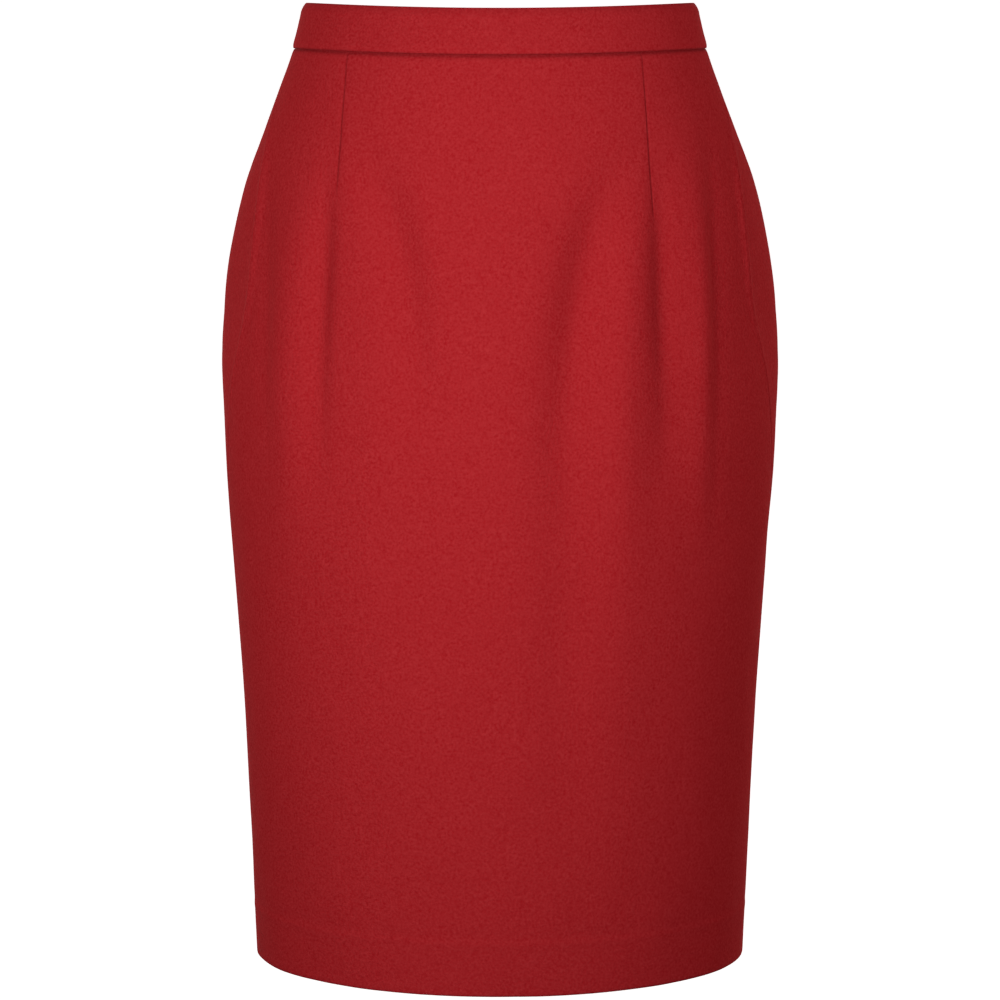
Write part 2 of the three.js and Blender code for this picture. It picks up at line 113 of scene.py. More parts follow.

# Soft folds: x and z of three places down the fold, the height of its peak, its spread to each
# side and its height, below zero for a hollow.
FRONT_FOLDS = [
    # the hollow under the front right dart, and the ridge beside it
    ((-103, -30), (-111, -140), (-114, -300), -150, 8.5, -4.4),
    ((-120, -35), (-131, -150), (-130, -345), -175, 16, 5),
    # the hollow under the front left dart, and the ridge beside it
    ((95, -30), (101, -140), (103, -290), -140, 9, -3.5),
    ((114, -25), (126, -150), (128, -340), -170, 14, 6),
    # the hollows to the right and left of the stomach, and the swell beside the left one
    ((-88, -40), (-64, -122), (-57, -280), -125, 16, -7),
    ((78, -45), (54, -140), (44, -330), -150, 18, -10),
    ((44, -170), (42, -350), (40, -560), -290, 22, -4.4),
    ((78, -50), (77, -200), (74, -470), -190, 17, 4.2),
    # the hollows over the hips
    ((-142, -45), (-147, -140), (-142, -280), -140, 9, -2),
    ((130, -15), (134, -150), (133, -340), -170, 8, -4.4),
]
BACK_FOLDS = [
    ((50, -60), (55, -150), (58, -300), -165, 13, -1.3),
    ((-50, -60), (-56, -150), (-60, -320), -170, 14, -1.5),
    ((93, -55), (104, -135), (110, -270), -145, 12, -1.4),
    ((-93, -50), (-103, -130), (-107, -260), -140, 12, -1.2),
    ((76, -200), (70, -330), (62, -540), -330, 22, -1.8),
    ((-74, -190), (-66, -320), (-70, -520), -310, 20, -1.6),
]
# Swells along the sides and along the side seams: top, peak and foot, spread and height.
HIP_SWELL = (-35, -150, -240, 28, 5)
SEAM_RIDGE = (-20, -110, -250, 3.8, 2.4)

# How a panel's edge rolls back at a seam: distance in from the seam line and rise, for the cloth's
# right side and for its wrong side. ROLL_MIDDLE is the row where it turns.
SEAM_ROLL = [
    (8.2, 0, 8.2, -1),
    (6.2, 0, 6.2, -1),
    (4.6, 0, 4.6, -1),
    (3.2, 0, 3.2, -1),
    (2, 0, 2, -1),
    (1.2, -0.04, 1.35, -1),
    (0.65, -0.14, 1.1, -1.02),
    (0.25, -0.4, 0.98, -1.05),
    (-0.03, -0.95, 0.95, -1.08),
    (0.2, -1.5, 0.98, -1.11),
    (0.7, -1.88, 1.1, -1.13),
    (1.4, -2.08, 1.4, -1.15),
    (3.2, -2.15, 3.2, -1.16),
]
ROLL_MIDDLE = 8
# How a panel's top goes under the waistband: depth and rise.
WAIST_ROLL = [(-4.6, -1), (-3, -1.02), (-1.2, -1.1), (0, -1.25), (0.7, -1.28), (1.25, -1.22)]
WAIST_ROLL += [(1.6, -1), (2, -0.72), (2.5, -0.44), (3.2, -0.2), (4, -0.07), (5, -0.01)]

# How the hem rolls: height above its lower edge and rise, for both sides as at a seam, and the
# rows where the top of the turned-up cloth shows through, below that top.
HEM_PRINT_ROWS = [-7, -4.5, -2.6, -1.2, 0, 1.2, 2.6, 4.5, 7]
HEM_ROLL = [
    (3, 0, 3, -1),
    (1.7, -0.04, 1.7, -1),
    (0.85, -0.17, 1.25, -1.01),
    (0.35, -0.45, 1.05, -1.03),
    (0.05, -0.9, 0.97, -1.07),
    (0.1, -1.45, 1, -1.11),
    (0.5, -1.9, 1.15, -1.14),
    (1.3, -2.1, 1.5, -1.16),
    (3, -2.16, 3, -1.17),
]


def smooth(share):
    share = np.clip(share, 0, 1)
    return share * share * (3 - 2 * share)


def blend(first, second, share):
    return first + (second - first) * share


def section(column, z):
    """One column of SECTIONS at each height, on a smooth curve through its rows."""
    heights, values = np.array(SECTIONS)[:, [0, column]].T
    k = np.clip(np.searchsorted(-heights, -np.asarray(z, float)), 2, len(heights) - 2)
    span = heights[k] - heights[k - 1]
    share = (z - heights[k - 1]) / span
    upper = (values[k] - values[k - 2]) / (heights[k] - heights[k - 2]) * span
    lower = (values[k + 1] - values[k - 1]) / (heights[k + 1] - heights[k - 1]) * span
    slopes = upper * share * (1 - share) ** 2 - lower * share**2 * (1 - share)
    return blend(values[k - 1], values[k], smooth(share)) + slopes


def outline(angle, z):
    """The section's point and outward normal at an angle from the front centre, and its reach, the
    length of outline for each radian."""
    half, widest = section(HALF, z), section(WIDEST, z)
    front = section(FRONT, z) + widest
    back = section(BACK, z) - widest
    across, along = np.sin(angle), -np.cos(angle)
    depth = np.where(along < 0, front, back)
    point = np.stack([half * across, widest + depth * along], -1)
    normal = np.stack([depth * across, half * along], -1)
    normal /= np.linalg.norm(normal, axis=-1, keepdims=True)
    return point, normal, np.hypot(half * along, depth * across)


def reach_at(angle, z):
    return outline(angle, z)[2]


def angle_at(x, z, back):
    angle = np.arcsin(np.clip(x / section(HALF, z), -1, 1))
    return np.sign(x) * math.pi - angle if back else angle


def seam_angle(z):
    return math.pi / 2 - np.radians(section(SEAM, z))


def dart_angle(dart, z):
    waist_x, point_x, length, back = dart
    return angle_at(blend(waist_x, point_x, np.clip(-z / length, 0, 1)), z, back)


def dart_sewn(dart, z):
    """1 down a dart's length, running out to 0 at its point."""
    return smooth((z + dart[2]) / DART_TAPER)


def strength(top, peak, foot, z):
    """A fold's height as a share of its peak's: 0 at its top and foot, 1 at its peak."""
    return np.where(z > peak, smooth((top - z) / (top - peak)), smooth((z - foot) / (peak - foot)))


def bell(distance, width):
    return np.exp(-((distance / width) ** 2))


def fold_x(places, z):
    """The x of a fold at each height, on the parabola through its three places."""
    total = 0
    for k in range(3):
        (x, at), (_, one), (_, other) = places[k], places[(k + 1) % 3], places[(k + 2) % 3]
        total = total + x * (z - one) * (z - other) / ((at - one) * (at - other))
    return total


def slack_waves(seed=11, count=34):
    """Directions, lengths, heights and starts of the small uneven waves that worn cloth has."""
    draw = np.random.default_rng(seed)
    length = draw.uniform(16, 95, count)
    turn = draw.normal(0, 0.5, count)
    height = 0.001 * length * draw.uniform(0.4, 1, count)
    return length, turn, height, draw.uniform(0, 2 * math.pi, count)


SLACK = slack_waves()


def slack(angle, z):
    """Small uneven waves, most of them running down the cloth."""
    along = angle * CLOTH_RADIUS
    total = 0
    for length, turn, height, start in zip(*SLACK):
        way = along * math.cos(turn) + z * math.sin(turn)
        total = total + height * np.sin(2 * math.pi * way / length + start)
    return total


def relief(angle, z, reach, dart_depth):
    """How far folds, darts, slack and the side seams raise the cloth."""
    height = 0
    for folds, back in ((FRONT_FOLDS, False), (BACK_FOLDS, True)):
        for *places, peak, width, high in folds:
            middle = angle_at(fold_x(places, z), z, back)
            ends = strength(places[0][1], peak, places[2][1], z)
            height = height + high * ends * bell((angle - middle) * reach, width)
    for dart in DARTS:
        distance = np.abs(angle - dart_angle(dart, z)) * reach
        crease = 0.75 * np.maximum(0, 1 - distance / 0.9) + 0.25 * bell(distance, 3)
        deeper = blend(0.3, 1, smooth(-z / 55))
        height = height - dart_depth * dart_sewn(dart, z) * crease * deeper
    for (*ends, width, high), middle in ((HIP_SWELL, math.pi / 2), (SEAM_RIDGE, seam_angle(z))):
        beside = (np.abs(angle) - middle) * reach
        height = height + high * strength(*ends, z) * bell(beside, width)
    return height + slack(angle, z) * smooth(-z / 40)


def cloth_point(angle, z, rise, dart_depth=0):
    """The outside of the cloth at each angle and height, moved out by rise."""
    turned = np.arctan2(np.sin(angle), np.cos(angle))
    point, normal, reach = outline(turned, z)
    out = relief(turned, z, reach, dart_depth) + rise
    return np.concatenate([point + normal * out[..., None], z[..., None]], -1)


def height_of(depth, angle):
    """The height of a depth at an angle. The waist seam and the hem dip at both centres."""
    across = np.cos(angle)
    dip = blend(np.where(across > 0, FRONT_DIP, BACK_DIP), HEM_DIP, np.maximum(0, depth / LENGTH))
    return -dip * across**2 - depth


def from_back_centre(angle, z):
    return (math.pi - np.abs(angle)) * reach_at(math.pi, z)


# ---- meshes


def mesh_object(name, points, faces, material, place=None, crease=50, painted_shade=None):
    """A shaded object from points in millimetres. Edges sharper than crease stay sharp. place is
    where each point lies on the flat cloth, and the last argument, from 0 to 1, how far painted
    shade darkens each point's colour in a ditch or crease."""
    used, first = np.unique(np.concatenate([np.ravel(f) for f in faces]), return_inverse=True)
    cuts = np.cumsum([len(face) for group in faces for face in group])[:-1]
    mesh = bpy.data.meshes.new(name)
    points = np.reshape(points, (-1, 3))[used] * MM
    mesh.from_pydata(points.tolist(), [], [f.tolist() for f in np.split(first, cuts)])
    if place is not None:
        flat = np.reshape(place, (-1, 2))[used][first] * MM
        layer = mesh.uv_layers.new(name="Cut")
        layer.uv.foreach_set("vector", flat.astype(np.float32).ravel())
    if painted_shade is not None:
        attribute = mesh.attributes.new("painted_shade", "FLOAT", "POINT")
        attribute.data.foreach_set("value", painted_shade.ravel()[used].astype(np.float32))
    mesh.update()
    mesh.shade_smooth()
    mesh.set_sharp_from_angle(angle=math.radians(crease))
    mesh.materials.append(material)
    piece = bpy.data.objects.new(name, mesh)
    bpy.context.collection.objects.link(piece)
    return piece


def cut_of(grid, cells):
    """The width and length that a panel's cloth was cut to, and its area, in metres, from the
    points of one of its faces."""
    across = np.linalg.norm(np.diff(grid, axis=1), axis=-1)
    down = np.linalg.norm(np.diff(grid, axis=0), axis=-1)
    wide = np.where(cells, (across[:-1] + across[1:]) / 2, 0)
    high = np.where(cells, (down[:, :-1] + down[:, 1:]) / 2, 0)
    width, length = wide.sum(1).max() * MM, high.sum(0).max() * MM
    return width, length, (wide * high).sum() * MM * MM


def shell_faces(cells):
    """The faces of a closed shell between the grids of points of its two sides."""
    rows, columns = cells.shape[0] + 1, cells.shape[1] + 1
    inner = rows * columns
    index = np.arange(inner).reshape(rows, columns)
    a, b, c, d = index[:-1, :-1], index[1:, :-1], index[1:, 1:], index[:-1, 1:]
    quads = [
        np.stack([k[cells] for k in (a, b, c, d)], 1),
        np.stack([k[cells] for k in (a, d, c, b)], 1) + inner,
    ]
    padded = np.pad(cells, 1)
    beside = [padded[1:-1, :-2], padded[2:, 1:-1], padded[1:-1, 2:], padded[:-2, 1:-1]]
    for has, start, end in zip(beside, (a, b, c, d), (b, c, d, a)):
        rim = cells & ~has
        one, two = start[rim], end[rim]
        quads.append(np.stack([two, one, one + inner, two + inner], 1))
    return quads


def shell_object(name, sides, cells, material, place, painted_shade=None):
    """A sheet of cloth from the grids of points of its right and wrong sides."""
    painted_shade = painted_shade if painted_shade is None else np.stack([painted_shade] * 2)
    place = np.stack([place] * 2)
    return mesh_object(name, sides, shell_faces(cells), material, place, painted_shade=painted_shade)


def tube_faces(rings, sides, flip=False):
    """The faces of a tube made of rings of points: its walls, then the two that close its ends."""
    index = np.arange(rings * sides).reshape(rings, sides)
    after = np.roll(index, -1, 1)
    walls = np.stack([index[:-1], index[1:], after[1:], after[:-1]], -1).reshape(-1, 4)
    faces = [walls, index[:1], index[-1:, ::-1]]
    return [face[:, ::-1] for face in faces] if flip else faces


# A panel's turned-back cloth past its rolled edge, in from the seam line: a seam's allowance, and
# the vent's facing, whose last columns are cut away beside the zip.
ALLOWANCE = [5.5, 8, 10, 12]
FACING = [6, 9, 12, 14, 19, 25, 32]
FACING_ALONE = 3
HEM_TURNED = np.linspace(6, HEM_DEPTH, 9)  # up from the hem's lower edge
TURNED_RISES = (-2.18, -1.18)  # of the turned-back cloth's two faces

# A dart's columns: distance to each side of its stitching.
DART_OFFSETS = [0.28, 0.6, 0.95, 1.5, 2.3, 3.4, 4.8, 6.5]


def edge_columns(turned):
    """Columns from a panel's flat cloth round its rolled edge to the tip of its turned cloth."""
    right_rise, wrong_rise = TURNED_RISES
    return SEAM_ROLL + [(inward, right_rise, inward, wrong_rise) for inward in turned]


class PanelCut:
    """Where a panel's columns and rows lie on both faces of its cloth, and which cells it has.

    anchors give the angle, at any height, of the panel's first edge, its darts and its last edge,
    and steps how many columns' gaps lie between one and the next. A column is a share of the way
    from one anchor to another, with an offset from each on both faces, and its own rises. turned
    are the offsets of the turned-back cloth at its first and last edge.
    """

    def __init__(self, settings, first_edge, darts, last_edge, steps, turned):
        self.anchors = [first_edge, *(partial(dart_angle, dart) for dart in darts), last_edge]
        self.dart_depth = settings.dart_depth / MM
        self.columns = []
        last = len(self.anchors) - 1
        for inward, rise, inner_inward, inner_rise in reversed(edge_columns(turned[0])):
            self.add(0, 0, 0, (inward, 0), (inner_inward, 0), rise, inner_rise)
        near = SEAM_ROLL[0][0]
        for k in range(last):
            is_dart = k + 1 < last
            far = -DART_OFFSETS[-1] if is_dart else -SEAM_ROLL[0][0]
            for step in range(1, steps[k]):
                self.add(k, k + 1, step / steps[k], (near, far))
            if is_dart:
                for offset in [-d for d in reversed(DART_OFFSETS)] + [0] + DART_OFFSETS:
                    self.add(k + 1, k + 1, 0, (offset, 0))
                near = DART_OFFSETS[-1]
        for inward, rise, inner_inward, inner_rise in edge_columns(turned[1]):
            self.add(last, last, 0, (-inward, 0), (-inner_inward, 0), rise, inner_rise)
        self.columns = np.array(self.columns, float)
        self.rows = panel_rows(settings.row_step / MM)
        # All cells between the middles of the rolled edges, and the cloth turned back there as
        # far down as the top of the turned-up hem.
        self.cells = np.ones((len(self.rows) - 1, len(self.columns) - 1), bool)
        hem = self.rows[1:, 0] > HEM_TOP + 3
        hem |= np.arange(len(hem)) >= np.argmax(self.rows[:, 0])
        self.cells[hem, : past_roll(turned[0])] = False
        self.cells[hem, -past_roll(turned[1]) :] = False

    def add(self, first, second, share, offsets, inner_offsets=None, rise=0, inner_rise=-1):
        inner_offsets = inner_offsets or offsets
        self.columns.append((first, second, share, *offsets, *inner_offsets, rise, inner_rise))

    def angles(self, z, inner):
        """The angle of each column at each height. A dart's columns spread out below its point."""
        first, second = self.columns[:, :2].T.astype(int)
        share = self.columns[:, 2]
        near, far = (self.columns[:, 5:7] if inner else self.columns[:, 3:5]).T
        at = np.array([anchor(z) for anchor in self.anchors])
        reach = np.array([reach_at(angle, z) for angle in at])
        rows, columns = np.indices(z.shape)
        spread = 1 + 1.4 * smooth((-z - 90) / 160)
        last = len(self.anchors) - 1
        near_spread = np.where((first > 0) & (first < last), spread, 1)
        far_spread = np.where((second > 0) & (second < last), spread, 1)
        one = at[first, rows, columns] + near * near_spread / reach[first, rows, columns]
        other = at[second, rows, columns] + far * far_spread / reach[second, rows, columns]
        return np.where(share > 0, blend(one, other, share), one)

    def face(self, inner, shift, lift, level):
        """One face of the panel as points, with its angles and depths."""
        pair = self.rows[:, 2:] if inner else self.rows[:, :2]
        depth, row_rise = (np.repeat(values[:, None], len(self.columns), 1) for values in pair.T)
        z = -depth
        for _ in range(3):
            angle = shift(self.angles(z, inner), z)
            z = height_of(depth, angle)
        # At the side seams the thick allowances fill the ditch under the band.
        under_band = (depth > 0.3) & (depth < 5) & (not inner)
        row_rise = np.where(under_band, row_rise * blend(1, 0.3, np.sin(angle) ** 6), row_rise)
        own_rise = np.where(level, -1 if inner else 0, self.columns[:, 8 if inner else 7])
        shows = row_rise > (-1.05 if inner else -0.5)
        rise = own_rise + row_rise + hem_print(depth) * shows + lift(angle, z)
        return cloth_point(angle, z, rise, self.dart_depth), angle, depth

    def sew(self, name, material, shift=lambda angle, z: angle, lift=lambda *_: 0, level=False):
        """The panel, and what its cloth was cut to. shift moves its columns' angles and lift
        raises its cloth, and where level is true a column's own rise is left out."""
        outer, angle, depth = self.face(False, shift, lift, level)
        sides = [outer, self.face(True, shift, lift, level)[0]]
        place = np.stack([angle * CLOTH_RADIUS, -depth], -1)
        # Painted shade in the ditch under the waistband and along the darts.
        painted_shade = painted_shade_at(angle, depth)
        piece = shell_object(name, sides, self.cells, material, place, painted_shade)
        return piece, cut_of(outer, self.cells)


def past_roll(turned):
    """How many columns lie past the middle of an edge's roll."""
    return len(turned) + len(SEAM_ROLL) - 1 - ROLL_MIDDLE


def panel_rows(step):
    """Rows from the seam allowance inside the waistband down to the hem, round it and up again:
    depth and rise for the right side and for the wrong side."""
    rows = [(depth, rise, depth, rise - 1) for depth, rise in WAIST_ROLL]
    count = int((HEM_TOP - 15) / step)
    body = [*np.linspace(6, HEM_TOP - 9, count), *(HEM_TOP + k for k in HEM_PRINT_ROWS)]
    body += [*np.linspace(HEM_TOP + 9, LENGTH - 4.5, 9)]
    rows += [(depth, 0, depth, -1) for depth in body]
    hem = HEM_ROLL + [(up, TURNED_RISES[0], up, TURNED_RISES[1]) for up in HEM_TURNED]
    rows += [(LENGTH - up, rise, LENGTH - inner_up, inner) for up, rise, inner_up, inner in hem]
    return np.array(rows, float)


def hem_print(depth):
    """The hem allowance's upper edge shows through as a faint ridge with a hollow above it."""
    below = depth - HEM_TOP
    return 0.2 * bell(below - 1, 2.2) - 0.12 * bell(below + 3.5, 3.4)


def painted_shade_at(angle, depth):
    """How much painted shade darkens a panel's colour: in the ditch under the waistband and along
    darts.
    """
    turned = np.arctan2(np.sin(angle), np.cos(angle))
    z = height_of(depth, turned)
    painted_shade = bell(depth - 0.7, 0.9)
    for dart in DARTS:
        distance = np.abs(turned - dart_angle(dart, z)) * reach_at(turned, z)
        painted_shade = np.maximum(painted_shade, DART_PAINTED_SHADE * dart_sewn(dart, z) * bell(distance, 0.7))
    return painted_shade


def right_seam_angle(z):
    return -seam_angle(z)


def make_front_panel(settings, material):
    turned = (ALLOWANCE, ALLOWANCE)
    cut = PanelCut(settings, right_seam_angle, FRONT_DARTS, seam_angle, [24, 50, 24], turned)
    return cut.sew("front_panel_crepe", material)


def make_back_left(settings, material):
    """The left back panel, the vent's upper layer. Below the vent's top its centre edge is faced
    by cloth as wide as the vent, and its free corner stands off a little."""
    centre = partial(np.full_like, fill_value=math.pi)
    turned = (ALLOWANCE, FACING)
    cut = PanelCut(settings, seam_angle, BACK_LEFT_DARTS, centre, [26, 9, 10], turned)
    cut.cells[cut.rows[1:, 0] < VENT_TOP - 6, -FACING_ALONE:] = False

    def lift(angle, z):
        down = smooth((-z - VENT_TOP) / VENT_LENGTH)
        return VENT_LIFT * down * (1 - smooth(from_back_centre(angle, z) / (2 * VENT_WIDTH)))

    return cut.sew("back_panel_left_crepe", material, lift=lift)


def make_back_right(settings, material):
    """The right back panel, the vent's under layer. Below the vent's top its cloth runs on past
    the back centre as flat cloth, beneath the left panel."""
    centre = partial(np.full_like, fill_value=-math.pi)
    turned = (FACING, ALLOWANCE)
    cut = PanelCut(settings, centre, BACK_RIGHT_DARTS, right_seam_angle, [10, 9, 26], turned)
    in_vent = cut.rows[:, 0] >= VENT_TOP - 2
    tip = past_roll(FACING)
    cut.cells[:, :tip] = in_vent[:-1, None]
    cut.cells[~in_vent[1:], FACING_ALONE:tip] = True
    # Past the back centre the columns of the roll and the facing become the under layer's.
    column = np.arange(len(cut.columns))
    under = in_vent[:, None] & (column <= tip)
    level = in_vent[:, None] & (column < len(FACING) + len(SEAM_ROLL))
    past = np.interp(column, [0, tip], [-VENT_WIDTH, -0.4])

    def shift(angle, z):
        return np.where(under, -math.pi + past / reach_at(math.pi, z), angle)

    def lift(angle, z):
        sunk = smooth((-z - VENT_TOP + VENT_RAMP) / VENT_RAMP)
        return -VENT_SINK * sunk * (1 - smooth(from_back_centre(angle, z) / (VENT_WIDTH / 2)))

    return cut.sew("back_panel_right_crepe", material, shift, lift, level)


# The waistband's section, from its lower edge up the outside, over the top, down the facing and
# back up the slot that holds the panels' seam allowance: height above the seam, and rise.
BAND_RING = [
    (0.02, -0.55), (0.12, -0.22), (0.42, 0.12), (0.95, 0.42), (1.7, 0.65),
    (2.8, 0.82), (4.3, 0.85), (6.5, 0.74), (9.5, 0.56), (13, 0.4),
    (17, 0.26), (19.2, 0.12), (21, 0.07), (22.8, 0.06), (24.5, -0.18),
    (26, -0.62), (27.2, -1.15), (28.1, -1.7), (28.7, -2.2), (28.8, -2.5),
    (27.9, -2.72), (26.3, -2.76), (24, -2.8), (21, -2.8), (15, -2.82),
    (8, -2.88), (3, -2.95), (0, -3.05), (-2.6, -3.15), (-3.5, -3.0),
    (-3.5, -2.5), (-2.4, -2.38), (1, -2.36), (4.8, -2.32), (5.4, -1.7),
    (4.8, -0.9), (2, -0.8), (0.6, -0.72), (0.12, -0.5),
]
BAND_MIDDLE = 9  # the row of BAND_RING halfway up the band's face
BAND_COLUMNS = 300
BAND_GAP = 0.8  # from the back centre to each end

# The band's rounded ends: distance in from the end, and how far the section closes up there.
BAND_ENDS = [(0, 0.55), (0.35, 0.25), (1, 0.07), (2, 0)]


def make_waistband(material):
    """The waistband, and the length and height of cloth that shows."""
    ups, rises = np.array(BAND_RING, float).T
    inward, closed = np.array(BAND_ENDS).T
    count = len(BAND_ENDS)
    up, rise = np.tile(ups, (BAND_COLUMNS, 1)), np.tile(rises, (BAND_COLUMNS, 1))
    for k, by in enumerate(closed):
        for at in (k, -1 - k):
            up[at] = ups.mean() + (ups - ups.mean()) * (1 - by * 0.03)
            rise[at] = rises.mean() + (rises - rises.mean()) * (1 - by)
    z = up.copy()
    share = np.linspace(0, 1, BAND_COLUMNS - 2 * (count - 1))[1:-1, None]
    for _ in range(3):
        reach = reach_at(math.pi, z)
        start = -math.pi + (BAND_GAP + inward[:, None]) / reach[:count]
        finish = math.pi - (BAND_GAP + inward[::-1, None]) / reach[-count:]
        angle = np.concatenate([start, blend(start[-1], finish[0], share), finish])
        z = height_of(-up, angle)
    points = cloth_point(angle, z, rise + 0.5 * slack(angle * 1.3, z + 300) * bell(up - 14, 16))
    faces = tube_faces(BAND_COLUMNS, len(BAND_RING))
    place = np.stack([angle * CLOTH_RADIUS, up], -1)
    # Painted shade darkens the band's colour along its lower edge, over the ditch beneath it.
    piece = mesh_object("waistband_crepe", points, faces, material, place, 55, bell(up, 0.8))
    length = np.linalg.norm(np.diff(points[:, BAND_MIDDLE], axis=0), axis=-1).sum()
    return piece, (length * MM, BAND_SHOWN * MM)


# ---- zip

ZIP_OPEN = 0.8
TAPE_WIDTH = 12
TAPE_THICK = 0.55
TAPE_TOP = 26.5
COIL_TOP = 12.8
COIL_SUNK = 1.25  # from the tapes' outer face in to the coil's middle
SLIDER_FOOT = 16
SLIDER_HEIGHT = 9
HINGE_OUT = 2
PULL_LENGTH = 21


def tape_rise(above_seam):
    return -blend(2.35, 3.6, smooth(1 + above_seam / 14))


def make_zip_tape(name, start, end, material):
    """A woven tape from start to end, in millimetres past the back centre."""
    ups = np.concatenate([np.linspace(TAPE_TOP, 2, 12), -np.linspace(0.2, ZIP_LENGTH - 1, 70)])
    across = np.linspace(start, end, 9)
    up, over = np.meshgrid(ups, across, indexing="ij")
    z = up
    for _ in range(3):
        angle = math.pi + over / reach_at(math.pi, z)
        z = height_of(-up, angle)
    ribs = 0.06 * np.sin(over * 4)
    sides = [cloth_point(angle, z, tape_rise(up) + rise) for rise in (ribs, -TAPE_THICK)]
    cells = np.ones((len(ups) - 1, len(across) - 1), bool)
    return shell_object(name, sides, cells, material, np.stack([over, up], -1))


def coil_loop(sides=7):
    """One loop of the coil: a bar along x, thickened at its head, about its middle."""
    rings = [(-1.9, 0.1), (-1.8, 0.3), (-1.3, 0.38), (0.2, 0.36), (0.7, 0.42), (1.1, 0.5)]
    rings += [(1.45, 0.46), (1.6, 0.22)]
    turn = np.arange(sides) * 2 * math.pi / sides
    points = [(x, 1.5 * r * math.cos(t), r * math.sin(t)) for x, r in rings for t in turn]
    return np.array(points), tube_faces(len(rings), sides, flip=True)


def back_centre_point(z):
    """The cloth's outside at the back centre."""
    return cloth_point(np.array(math.pi), np.array(z), np.array(0.0))


def make_zip_coil(settings, material):
    """The closed coil: loops of nylon from either tape, one from each in turn, down its length."""
    loop, faces = coil_loop()
    clouds, groups = [], [[] for _ in faces]
    pitch = settings.coil_pitch / MM
    for k, up in enumerate(np.arange(COIL_TOP, 2 - ZIP_LENGTH, -pitch / 2)):
        side = 1 if k % 2 else -1
        z = height_of(-up, math.pi)
        slope = (back_centre_point(z - 2)[1] - back_centre_point(z + 2)[1]) / 4
        lean = math.atan(slope)
        out = outline(math.pi, z)[0][1] + tape_rise(up) - COIL_SUNK
        x, y, high = loop.T
        x = side * (0.75 - x)
        y, high = (
            out + y * math.cos(lean) + high * math.sin(lean),
            z - y * math.sin(lean) + high * math.cos(lean),
        )
        clouds.append(np.stack([x, y, high], 1))
        for group, face in zip(groups, faces):
            group.append((face if side < 0 else face[:, ::-1]) + k * len(loop))
    points = np.concatenate(clouds)
    return mesh_object("zip_coil_nylon", points, [np.concatenate(g) for g in groups], material)


def arc(x, y, radius, start, end, steps=25):
    turn = np.radians(np.linspace(start, end, steps))
    return [(x + radius * math.cos(t), y + radius * math.sin(t)) for t in turn]


def fastener_place():
    """Where the slider's neck crosses the cloth, and how far it leans with the cloth."""
    z = height_of(-(SLIDER_FOOT + SLIDER_HEIGHT / 2), math.pi)
    at, below = back_centre_point(z), back_centre_point(z - PULL_LENGTH)
    lean = math.atan2(below[1] - at[1], PULL_LENGTH)
    return Matrix.Translation(Vector(at * MM)) @ Matrix.Rotation(lean, 4, "X")


UPRIGHT = Matrix.Rotation(math.radians(90), 4, "X")  # x across, y up, thickness along Y
EDGE_ON = Matrix(((0, 0, 1, 0), (1, 0, 0, 0), (0, 1, 0, 0), (0, 0, 0, 1)))  # x out, y up


def plate_object(name, material, outlines, thickness, bevel, turn=UPRIGHT, out=0):
    """A flat piece with rounded edges from closed outlines, the first its rim and the rest its
    holes, in its own plane, then turned there and moved out from the slider's place."""
    curve = bpy.data.curves.new(name, "CURVE")
    curve.dimensions = "2D"
    curve.fill_mode = "BOTH"
    curve.extrude = (thickness / 2 - bevel) * MM
    curve.bevel_depth = bevel * MM
    curve.bevel_resolution = 3
    curve.offset = -bevel * MM
    for points in outlines:
        spline = curve.splines.new("POLY")
        spline.points.add(len(points) - 1)
        spline.use_cyclic_u = True
        for at, (x, y) in zip(spline.points, points):
            at.co = (x * MM, y * MM, 0, 1)
    drawn = bpy.data.objects.new(name + ".curve", curve)
    mesh = bpy.data.meshes.new_from_object(drawn)
    bpy.data.objects.remove(drawn)
    bpy.data.curves.remove(curve)
    weld = bmesh.new()
    weld.from_mesh(mesh)
    bmesh.ops.remove_doubles(weld, verts=weld.verts, dist=1e-6)
    bmesh.ops.recalc_face_normals(weld, faces=weld.faces)
    weld.to_mesh(mesh)
    weld.free()
    mesh.name = name
    mesh.materials.clear()
    mesh.materials.append(material)
    mesh.shade_smooth()
    mesh.set_sharp_from_angle(angle=math.radians(40))
    mesh.transform(fastener_place() @ Matrix.Translation((0, out * MM, 0)) @ turn)
    piece = bpy.data.objects.new(name, mesh)
    bpy.context.collection.objects.link(piece)
    return piece


def join(name, pieces):
    with bpy.context.temp_override(active_object=pieces[0], selected_editable_objects=pieces):
        bpy.ops.object.join()
    pieces[0].name = name
    return pieces[0]


def make_slider(material):
    """Two plates either side of the coil, and the neck between them, which runs out to the eye."""
    half, high = 3.5, 4.5
    rim = [(x, 0.6 + (y - 0.6) * 1.1) for x, y in arc(0, 0.6, half, 0, 180)]
    rim += [(-half, -1), (-half + 0.35, -2.6), (-half + 0.9, -high)]
    rim += [(half - 0.9, -high), (half - 0.35, -2.6), (half, -1)]
    front = plate_object("slider_front", material, [rim], 0.9, 0.3, out=-4.8)
    rear = plate_object("slider_rear", material, [rim], 0.9, 0.3, out=-6.9)
    neck = [(-7, 2), *arc(HINGE_OUT, 0, 2, 90, -90), (-7, -2)]
    eye = arc(HINGE_OUT, 0, 1.15, 0, 345, 24)
    neck = plate_object("slider_neck", material, [neck, eye], 1, 0.25, EDGE_ON)
    return join("zip_slider_enamel", [front, rear, neck])


